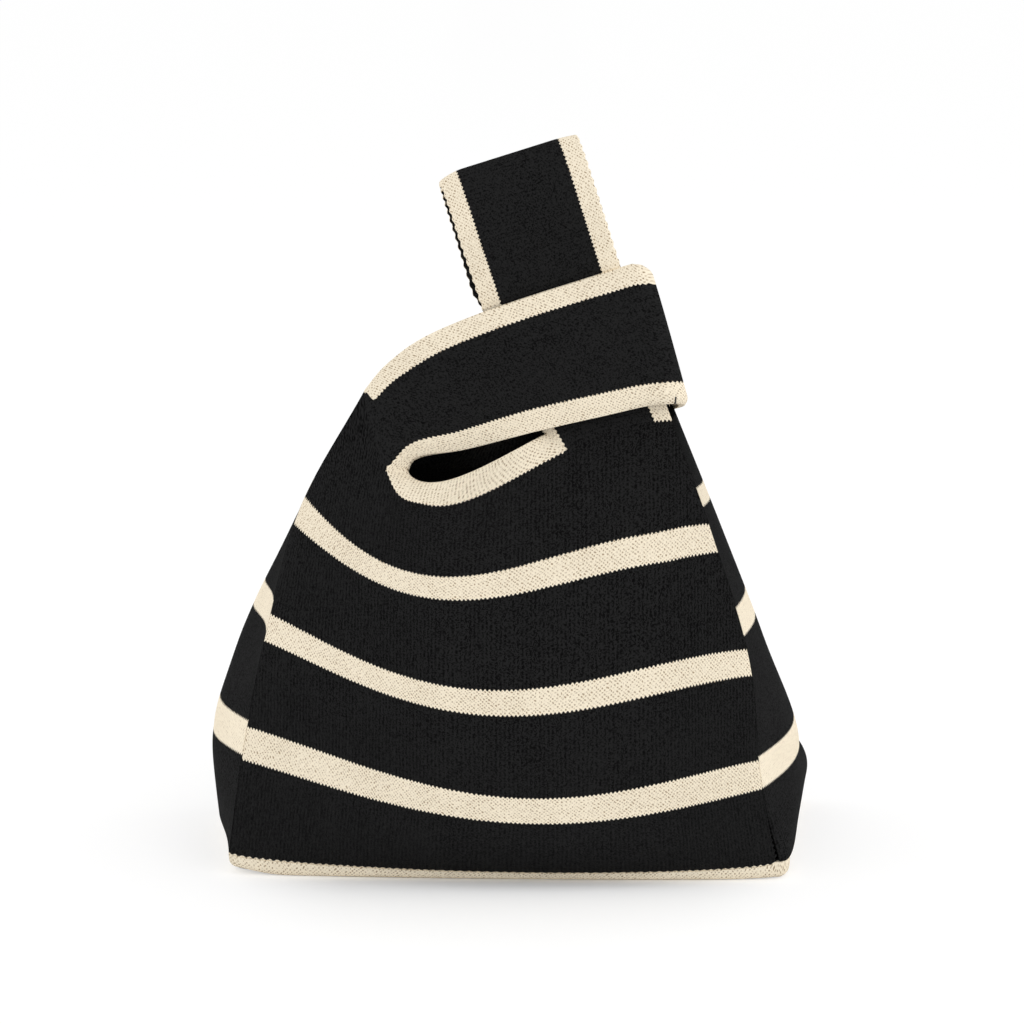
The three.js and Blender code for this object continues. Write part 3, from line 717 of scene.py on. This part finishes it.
def makeBase():
    count = len(hem)
    corners = [panelPoint(face, across, 0.0) for face in (front, back) for across in (0.0, 1.0)]

    def roundAt(point):  # more at the corners
        near = max(max(0.0, 1 - (point - c).length / base["cornerReach"]) for c in corners)
        return base["round"] + base["cornerRound"] * near**2

    def profile(full, rim, v):  # inset and height of the outer face down the rim
        angle = v / base["rimShare"] * math.pi / 2
        under, down = base["rimPowers"]
        return full * (1 - math.cos(angle)) ** under, rim * (1 - math.sin(angle)) ** down

    def offTable(point, height, rim):
        point = Vector((point.x, point.y, 0))
        near = max(0.0, 1 - (point - softCorner["at"]).length / softCorner["reach"])
        point.z = height + softCorner["lift"] * near**2 * (1 - height / rim)
        return point

    def outer(u, v):
        point, normal = hem[round(u * count) % count]
        rim = point.z - base["gap"]
        if v <= base["rimShare"]:
            inset, height = profile(roundAt(point), rim, v)
            return offTable(point - normal * inset, height, rim)
        flat = point - normal * roundAt(point)
        share = (v - base["rimShare"]) / (1 - base["rimShare"])
        return offTable(flat * (1 - share), 0.0, rim)

    def wall(u, v):
        _, normal = hem[round(u * count) % count]
        down = ease(v / base["rimShare"])
        return (normal * (1 - down) + Vector((0, 0, -1)) * down).normalized()

    def mapAt(u, v):
        point, normal = hem[round(u * count) % count]
        flat = point - normal * base["round"]
        if v <= base["rimShare"]:
            far = flat + normal * (base["round"] + base["rimCloth"]) * (1 - v / base["rimShare"])
            return far.x, far.y, farOff
        share = (v - base["rimShare"]) / (1 - base["rimShare"])
        return flat.x * (1 - share), flat.y * (1 - share), farOff

    piece = clothPiece(
        "basePanel", "pale", "bag", ["base_panel"], "cream_knit",
        columns=count, steps=base["steps"], outer=outer, wall=wall,
        mapAt=mapAt, free="b", ring=True, roll=base["rimRoll"],
    )


makeBase()

# The mouth bands

mouth = {
    "left": (-41.5, 13.0, 156.0), "right": (13.4, 6.6, 169.3),
    "sag": (5.85, 0.244, 1.27), "crown": (15.0, 0.45, 1.0),
    "bandFrom": 0.25, "bandTo": 0.8, "length": 78.0, "columns": 90, "steps": 8,
}


def mouthEdge(face, along):
    (x0, out0, z0), (x1, out1, z1) = mouth["left"], mouth["right"]
    sag, crown = mouth["sag"], mouth["crown"]
    out = lerp(out0, out1, along) + crown[0] * hump(along, *crown[1:])
    depth = sag[0] - (lift if face == back else 0)
    z = lerp(z0, z1, along) - depth * hump(along, *sag[1:]) - slumpAt(face, 0.0, topRow) * (1 - along)
    return Vector((lerp(x0, x1, along), face * out, z))


def topEdge(face, across):
    return panelPoint(face, across, topRow)


def makeMouthBand(name, node, face):
    def acrossAt(u):
        return lerp(mouth["bandFrom"], mouth["bandTo"], u)

    return clothPiece(
        name, "pale", "bag", [node], "cream_knit",
        columns=mouth["columns"], steps=mouth["steps"],
        outer=lambda u, v: topEdge(face, acrossAt(u)).lerp(mouthEdge(face, u), v),
        wall=lambda u, v: panelNormal(face, acrossAt(u), topRow),
        mapAt=lambda u, v: (u * mouth["length"], v * cloth["band"], farOff), free="t",
    )


frontBand = makeMouthBand("frontMouthBand", "front_mouth_band", front)
backBand = makeMouthBand("backMouthBand", "back_mouth_band", back)


def rootPoint(face, across, cornerAt, mouthEnd, bandEnd, armpit):
    corner = topEdge(face, bandEnd)
    if across <= cornerAt:
        return mouthEdge(face, mouthEnd).lerp(corner, across / cornerAt)
    return topEdge(face, lerp(bandEnd, armpit, (across - cornerAt) / (1 - cornerAt)))


def rootNormal(face, across, cornerAt, bandEnd, armpit):
    share = max(0.0, (across - cornerAt) / (1 - cornerAt))
    return panelNormal(face, lerp(bandEnd, armpit, share), topRow)


# The short handle

neckOut = 2.8  # outer face of the long handle, from the middle plane
knotOut = 6.6  # outer face of the short handle round it
lineSteps = 400  # of a traced line
strapShare = 0.9  # of a strap's rectangle that is cloth
strapNodes = ("", "_inner_band", "_outer_band")  # a strap and its bands in the CAD
short = {
    "width": 56.3, "lean": 101.6, "columns": 300, "steps": 44,
    "lowerEdge": (
        (-39.9, 159.4), (-36.3, 161.2), (-20, 163.3), (11, 171.2), (43, 178.5), (53, 180.6), (58.4, 181.2),
    ),
    "upperEdge": (
        (-52.2, 194.1), (-45.9, 199.9), (-39.5, 204.7), (-30, 209.9), (-12.6, 217.1), (11, 225.3),
    ),
    "flare": 4.6, "flarePower": 0.8, "flareMean": 0.33,  # how far the lower edge stands off the knot
    "bandLow": (4.8, 9.0), "bandLowOver": 0.6,  # both bands are drawn narrower near the body
    "bandHigh": (5.2, 7.6), "bandHighOver": 0.25,
    "bandFoot": (3.6, 0.06),  # the lower one widens again at the mouth: how far, over which share
    "blendShare": 0.35,  # over which the body's form turns into the flat strap
    "dropLow": 6.0, "dropMiddle": 1.6, "dropHigh": 3.2, "dropOver": 0.12,  # how much lower the back hangs
    "bulge": 1.1,  # of the bight, against a half circle
    "curl": (1.8, 2.4), "curlFrom": 0.75, "curlLow": 0.06, "curlHigh": (0.9303, 0.07),  # of its edges
    "pull": 0.3, "pullLess": 0.4, "closer": 1.1,  # how the ribs are drawn askew and together
    "turned": 0.07,  # share of the strap whose inner face shows its bands
}


def throughPoints(points, count):  # a centripetal curve through points, in equal steps
    points = [Vector(p) for p in points]
    ends = [2 * points[0] - points[1], *points, 2 * points[-1] - points[-2]]
    fine = []
    for k in range(1, len(ends) - 2):
        p0, p1, p2, p3 = ends[k - 1 : k + 3]
        d0, d1, d2 = ((q - p).length ** 0.5 for p, q in ((p0, p1), (p1, p2), (p2, p3)))
        m1 = ((p1 - p0) / d0 - (p2 - p0) / (d0 + d1) + (p2 - p1) / d1) * d1
        m2 = ((p2 - p1) / d1 - (p3 - p1) / (d1 + d2) + (p3 - p2) / d2) * d1
        for i in range(lineSteps // 4):
            t = i / (lineSteps // 4)
            fine.append(
                p1 * (2 * t**3 - 3 * t**2 + 1) + m1 * (t**3 - 2 * t**2 + t)
                + p2 * (3 * t**2 - 2 * t**3) + m2 * (t**3 - t**2)
            )
    fine.append(points[-1])
    return inSteps(fine, count)


def inSteps(points, count):
    lengths = [0.0]
    for p, q in zip(points, points[1:]):
        lengths.append(lengths[-1] + (q - p).length)
    made, k = [], 0
    for i in range(count + 1):
        want = lengths[-1] * i / count
        while k < len(lengths) - 2 and lengths[k + 1] < want:
            k += 1
        span = lengths[k + 1] - lengths[k]
        made.append(points[k].lerp(points[k + 1], (want - lengths[k]) / span if span else 0))
    return made, lengths[-1]


def flatPoint(point):
    return Vector((point[0], 0, point[-1]))


shortEnd = flatPoint(short["lowerEdge"][-1])
lean = math.radians(short["lean"])
shortTop = shortEnd + Vector((math.cos(lean), 0, math.sin(lean))) * short["width"]
armpit = flatPoint(topEdge(front, 0.0))
lowerPoints = [flatPoint(p) for p in (mouth["left"], *short["lowerEdge"])]
upperPoints = [armpit, *(flatPoint(p) for p in short["upperEdge"]), shortTop]
lowerLine, shortLength = throughPoints(lowerPoints, lineSteps)
upperLine, _ = throughPoints(upperPoints, lineSteps)
shortHeading = (lowerLine[-1] - lowerLine[-2]).normalized()
shortCorner = cloth["band"] / (upperLine[0] - lowerLine[0]).length


def onLine(line, along):
    place = min(1.0, max(0.0, along)) * (len(line) - 1)
    k = min(int(place), len(line) - 2)
    return line[k].lerp(line[k + 1], place - k)


def easeOut(along, share):
    return 1 - max(0.0, 1 - along / share) ** 2


def shortFlat(face, along, across):
    point = onLine(lowerLine, along).lerp(onLine(upperLine, along), across)
    point.y = face * (knotOut + short["flare"] * (1 - across) ** short["flarePower"])
    return point


def shortOuter(face, along, across):
    root = rootPoint(face, across, shortCorner, 0.0, mouth["bandFrom"], 0.0)
    fade = max(0.0, 1 - along / short["blendShare"]) ** 2
    return shortFlat(face, along, across) + (root - shortFlat(face, 0.0, across)) * fade


def shortWall(face, along, across):
    root = rootNormal(face, across, shortCorner, mouth["bandFrom"], 0.0)
    return root.lerp(Vector((0, face, 0)), ease(along / short["blendShare"]))


def edgeReach(point, along):  # from a point to the nearer edge of the strap, in the flat
    spot, full = flatPoint(point), cloth["band"]
    middle, reach = round(along * lineSteps), 60
    near = range(max(0, middle - reach), min(lineSteps, middle + reach) + 1, 2)
    low = min((lowerLine[k] - spot).length for k in near)
    high = min((upperLine[k] - spot).length for k in near)
    wider, over = short["bandFoot"]
    lowBand = lerp(*short["bandLow"], easeOut(along, short["bandLowOver"]))
    lowBand += wider * max(0.0, 1 - along / over) ** 2
    highBand = lerp(*short["bandHigh"], ease(along / short["bandHighOver"]))
    low, high = low * full / lowBand, high * full / highBand
    start = (upperLine[4] - upperLine[0]).normalized()
    high = max(high, full - (spot - upperLine[0]).dot(start))  # the upper band ends square
    return min(low, high)


def shortSkin(face, along, angle, across):  # along the flat stretch, then round the bight
    point = shortOuter(face, along, across)
    highFrom, highOver = short["curlHigh"]
    curl = short["curl"][0] * max(0.0, 1 - across / short["curlLow"]) ** 2
    curl += short["curl"][1] * max(0.0, (across - highFrom) / highOver) ** 2
    radius = abs(point.y) - curl * ease((along - short["curlFrom"]) / (1 - short["curlFrom"]))
    point.y = face * radius * math.cos(angle)
    point += shortHeading * radius * short["bulge"] * math.sin(angle)
    turned = (1 - math.cos(angle if face == front else math.pi - angle)) / 2
    low = lerp(short["dropLow"], short["dropMiddle"], hump(along, 0.5, 2.0))
    point.z -= lerp(low, short["dropHigh"], across) * turned * easeOut(along, short["dropOver"])
    return point


def makeShortHandle():
    turn = (knotOut + short["flare"] * short["flareMean"]) * math.pi / 2
    half = shortLength + turn

    def placed(u):  # face, share of the flat stretch, angle of the bight
        far = u * 2 * half
        face = front if far <= half else back
        far = min(far, 2 * half - far)
        return face, min(1.0, far / shortLength), max(0.0, far - shortLength) / turn * math.pi / 2

    def wall(u, v):
        face, along, angle = placed(u)
        if angle:
            return Vector((0, face * math.cos(angle), 0)) + shortHeading * math.sin(angle)
        return shortWall(face, along, v)

    def mapAt(u, v):
        face, along, angle = placed(u)
        width = (onLine(upperLine, along) - onLine(lowerLine, along)).length
        pull = -face * math.cos(angle) * short["pull"] * (1 - short["pullLess"] * along) * v * width
        far = u * 2 * half * short["closer"]
        return far + pull, v * width, edgeReach(shortOuter(face, along, v), along)

    nodes = [f"short_handle_{f}{s}" for f in ("front", "back") for s in strapNodes]
    piece = clothPiece(
        "shortHandle", "strap", "bag", nodes, "black_knit",
        columns=short["columns"], steps=short["steps"],
        outer=lambda u, v: shortSkin(*placed(u), v), wall=wall,
        mapAt=mapAt, free="bt", turned=short["turned"],
    )
    flat = (short["width"] * mm, 2 * half * mm)
    strapShare * flat[0] * flat[1]


makeShortHandle()

# The long handle: two roots on the bag, and the strap, kept apart from the bag's body

long = {
    "width": 57.0, "band": 7.6, "tilt": 17.5, "nip": (14.3, 0, 230.6), "steps": 40,
    "root": 46.0, "rootMap": 40.0, "rootSteps": 46,
    "rootLean": 0.4, "rootTurn": 0.6,  # how far up it leaves the mouth's direction and the panel's
    "rootOuter": 1.2,  # how much narrower its outer band is
    "neck": 27.0, "neckGap": 0.3, "neckSteps": 12,
    "loop": 51.4, "loopOut": 9.0, "belly": 30.0, "bellySteps": 40, "loopColumns": 220,
    "backLeft": 2.0, "backFrom": -6, "backOver": 10,  # how much further left the back layer is, above the nip
    "scallop": 0.3, "scallopStep": 3.9, "scallopShare": 0.2,  # of the edges
    "droopLeft": 2.2, "droopRight": 0.8, "droopShare": 0.38,  # of the loop's top corners
    "bend": (5, 7),  # a span along the strap, from below the nip to above it
}
tilt = math.radians(long["tilt"])
longUp = Vector((-math.sin(tilt), 0, math.cos(tilt)))
longAcross = Vector((math.cos(tilt), 0, math.sin(tilt)))
nip = Vector(long["nip"])
neckBottom = -(neckOut + long["neckGap"]) - long["neck"]
rootTop = neckBottom - long["neckGap"]
longCorner = cloth["band"] / long["width"]


def longEdge(side):
    start = mouthEdge(front, 1.0) if side == left else topEdge(front, 1.0)
    end = nip + longAcross * side * long["width"] / 2 + longUp * rootTop
    control = end - longUp * long["rootLean"] * (start - end).length
    start.y = 0
    return start, control, end


longEdges = {side: longEdge(side) for side in (left, right)}


def onBend(side, t):
    start, control, end = longEdges[side]
    return start * (1 - t) ** 2 + control * 2 * t * (1 - t) + end * t * t


def makeRoot(name, face, label):
    def outer(u, v):
        root = rootPoint(face, u, longCorner, 1.0, mouth["bandTo"], 1.0)
        start = onBend(left, 0).lerp(onBend(right, 0), u)
        point = onBend(left, v).lerp(onBend(right, v), u) + (root - start) * (1 - v) ** 2
        point.y = face * lerp(neckOut, abs(root.y), (1 - v) ** 4)
        return point

    def wall(u, v):
        root = rootNormal(face, u, longCorner, mouth["bandTo"], 1.0)
        return root.lerp(Vector((0, face, 0)), ease(v / long["rootTurn"]))

    def mapAt(u, v):
        edge = min(u, (1 - u) * long["rootOuter"]) * long["width"]
        return v * long["rootMap"], u * long["width"], edge

    nodes = [f"long_handle_{label}{s}" for s in strapNodes]
    piece = clothPiece(
        name, "strap", "bag", nodes, "black_knit",
        columns=long["steps"], steps=long["rootSteps"], outer=outer, wall=wall, mapAt=mapAt, free="lr",
    )


makeRoot("longHandleFrontRoot", front, "front")
makeRoot("longHandleBackRoot", back, "back")


def loopHalf(height):
    return lerp(neckOut, long["loopOut"], ease(height / long["belly"]))


def loopPath():
    neckSteps, steps, belly = long["neckSteps"], long["bellySteps"], long["belly"]
    points = [Vector((0, -neckOut, neckBottom * (1 - i / neckSteps))) for i in range(neckSteps)]
    points += [Vector((0, -loopHalf(belly * i / steps), belly * i / steps)) for i in range(steps)]
    for i in range(steps + 1):
        angle = math.pi / 2 * i / steps
        height = belly + (long["loop"] - belly) * math.sin(angle)
        points.append(Vector((0, -long["loopOut"] * math.cos(angle), height)))
    return points + [Vector((0, -p.y, p.z)) for p in reversed(points[:-1])]


def edgeShare(v, share):  # 1 on both edges of a strap, 0 further in
    return max(0.0, abs(2 * v - 1) - 1 + share) / share


def makeStrap():
    line, length = inSteps(loopPath(), long["loopColumns"])
    width = long["width"]

    def outer(u, v):
        point = line[round(u * long["loopColumns"])]
        x, y, h = (v - 0.5) * width, point.y, point.z
        top = ease((h - long["belly"]) / (long["loop"] - long["belly"]))
        h -= top * edgeShare(v, long["droopShare"]) ** 2 * long["droopLeft" if x < 0 else "droopRight"]
        wave = math.sin(2 * math.pi * length * u / long["scallopStep"])
        x += long["scallop"] * wave * edgeShare(v, long["scallopShare"])
        behind = (1 + y / loopHalf(min(h, long["belly"]))) / 2
        x -= long["backLeft"] * behind * ease((h - long["backFrom"]) / long["backOver"])
        return nip + longAcross * x + longUp * h + Vector((0, y, 0))

    def wall(u, v):
        k = round(u * long["loopColumns"])
        p, q = line[max(0, k - 1)], line[min(len(line) - 1, k + 1)]
        run = (q - p).normalized()
        return Vector((0, -run.z, 0)) + longUp * run.y

    nodes = [part + s for part in ("carry_loop", "neck_front", "neck_back") for s in strapNodes]
    piece = clothPiece(
        "longHandleStrap", "strap", None, nodes, "black_knit",
        columns=long["loopColumns"], steps=long["steps"], outer=outer, wall=wall,
        mapAt=lambda u, v: (u * length, v * width, min(v, 1 - v) * width * cloth["band"] / long["band"]),
        free="bt",
    )
    length * mm
    below, above = long["bend"]
    start, end = (nip + centre - longUp * below) * mm, (nip + centre + longUp * above) * mm
    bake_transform(piece)
    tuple(start)
    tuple(end)


makeStrap()

# Linking thread in the seams

stitching = {"radius": 0.7, "thread": 0.3, "pitch": 2.1, "points": 9, "near": 0.002}
cornerSeam = {"from": 2.0, "below": 1.0, "steps": 60, "sink": 0.75}  # sunk by a share of the knit
baseSeam = {"sink": 0.8, "drop": Vector((0, 0, -0.3))}
endSeam = {
    "from": 0.04, "to": 0.98, "steps": 20, "sink": 0.7, "radius": 0.06,
    "tail": (0.055, 0.03, 0.005), "tailAngle": 0.6, "tailOff": Vector((0.1, -0.2, 0)),  # its loose end
}


def makeStitches(name, node, line, outwards, closed=False, radius=stitching["radius"]):
    points, length = inSteps(line + line[:1] if closed else line, lineSteps)
    turns = round(length / stitching["pitch"])
    count = turns * stitching["points"]
    near = stitching["near"]
    curve = bpy.data.curves.new(name, "CURVE")
    curve.dimensions, curve.bevel_depth = "3D", stitching["thread"] * mm
    curve.bevel_resolution, curve.use_fill_caps = 1, True
    spline = curve.splines.new("POLY")
    spline.points.add(count - 1 if closed else count)
    spline.use_cyclic_u = closed
    for i, place in enumerate(spline.points):
        along = i / count
        here = onLine(points, along)
        run = (onLine(points, along + near) - onLine(points, along - near)).normalized()
        out = outwards(along)
        out = (out - run * out.dot(run)).normalized()
        beside = run.cross(out)
        angle = 2 * math.pi * i / stitching["points"]
        spot = here + (out * math.cos(angle) + beside * math.sin(angle)) * radius
        place.co = (*(spot * mm), 1)
    holder = bpy.data.objects.new(name + "Curve", curve)
    bpy.context.collection.objects.link(holder)
    bpy.context.view_layer.update()
    mesh = bpy.data.meshes.new_from_object(holder.evaluated_get(bpy.context.evaluated_depsgraph_get()))
    bpy.data.objects.remove(holder)
    bpy.data.curves.remove(curve)
    bm = bmesh.new()
    bm.from_mesh(mesh)
    bpy.data.meshes.remove(mesh)
    for f in bm.faces:
        f.smooth = True
    return finishPiece(name, bm, [finishes["thread"]], "bag", [node])


def makeCornerSeam(name, node, face, side):
    steps, edge = cornerSeam["steps"], 0.0 if side == left else 1.0
    heights = [lerp(cornerSeam["from"], topRow - cornerSeam["below"], i / steps) for i in range(steps + 1)]
    mitres = [seamMitre(face, side, h) for h in heights]
    line = [panelPoint(face, edge, h) - out * knit * cornerSeam["sink"] for h, out in zip(heights, mitres)]
    makeStitches(name, node, line, lambda t: mitres[min(steps, max(0, round(t * steps)))])


for face, faceName in ((front, "front"), (back, "back")):
    for side, sideName in ((left, "left"), (right, "right")):
        makeCornerSeam(f"{faceName}{sideName.title()}Seam", f"{faceName}_{sideName}_seam", face, side)

baseLine = [p - n * knit * baseSeam["sink"] + baseSeam["drop"] for p, n in hem]
makeStitches("baseSeam", "base_seam", baseLine, lambda t: hem[round(t * len(hem)) % len(hem)][1], closed=True)

endLine = [
    shortSkin(front, 1.0, endSeam["tailAngle"], across) + endSeam["tailOff"] for across in endSeam["tail"]
]
for i in range(endSeam["steps"] + 1):
    across = lerp(endSeam["from"], endSeam["to"], i / endSeam["steps"])
    endLine.append(shortSkin(front, 1.0, math.pi / 2, across) - shortHeading * knit * endSeam["sink"])
makeStitches(
    "shortHandleEndSeam", "short_handle_end_seam", endLine, lambda t: shortHeading, radius=endSeam["radius"],
)
print("seams stitched")
